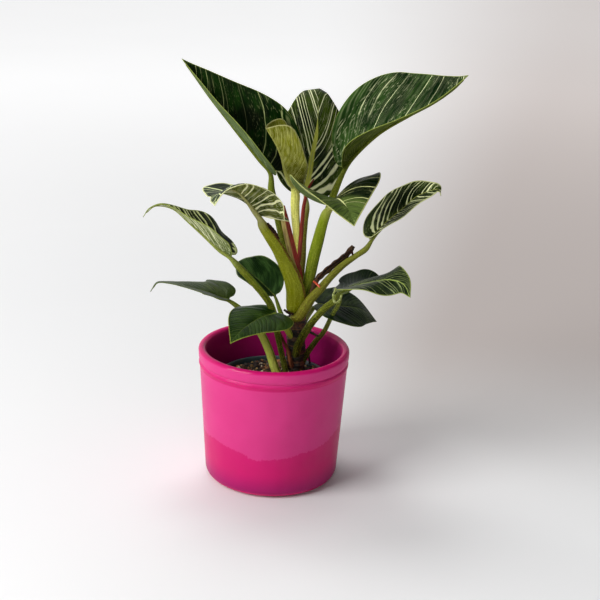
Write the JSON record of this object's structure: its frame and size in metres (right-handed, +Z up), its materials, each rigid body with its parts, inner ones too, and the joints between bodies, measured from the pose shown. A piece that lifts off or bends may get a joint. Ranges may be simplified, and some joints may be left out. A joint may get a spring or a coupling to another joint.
{
  "type": "potted philodendron birkin",
  "caption": "Potted houseplant with heart-shaped, cream-striped dark green leaves on long petioles, in a nursery pot inside a round glazed cover pot.",
  "frame": {"origin": "centre of the flat base of the cover pot, on the surface that it stands on", "axes": "+Z up along the pot's axis; -Y towards the side that the young folded leaf and the widest spread of blades face; +X to the right as seen from there"},
  "size_m": [0.2727, 0.193, 0.39],
  "materials": {
    "glazed_pot": "glossy glaze, deeper towards the base",
    "nursery_plastic": "satin",
    "soil": "rough",
    "stem": "rough bark",
    "dark_leaf": "waxy satin",
    "young_leaf": "waxy satin",
    "red_sheath": "satin",
    "dry_sheath": "dry"
  },
  "bodies": {
    "root": {"pot": "glazed_pot", "nursery_pot": "nursery_plastic", "soil": "soil", "stem": "stem", "leaf_left_tall": "dark_leaf", "leaf_back_striped": "dark_leaf", "leaf_right_tall": "dark_leaf", "leaf_young_folded": "young_leaf", "leaf_front_right": "dark_leaf", "leaf_front_left": "dark_leaf", "leaf_left_mid": "dark_leaf", "leaf_left_low": "dark_leaf", "leaf_low_front": "dark_leaf", "leaf_back_left": "dark_leaf", "leaf_right_mid": "dark_leaf", "leaf_right_low": "dark_leaf", "leaf_low_right": "dark_leaf", "leaf_right_back": "dark_leaf", "sheath_left": "red_sheath", "sheath_right": "red_sheath", "sheath_dry_upper": "dry_sheath", "sheath_dry_lower": "dry_sheath"}
  },
  "joints": []
}
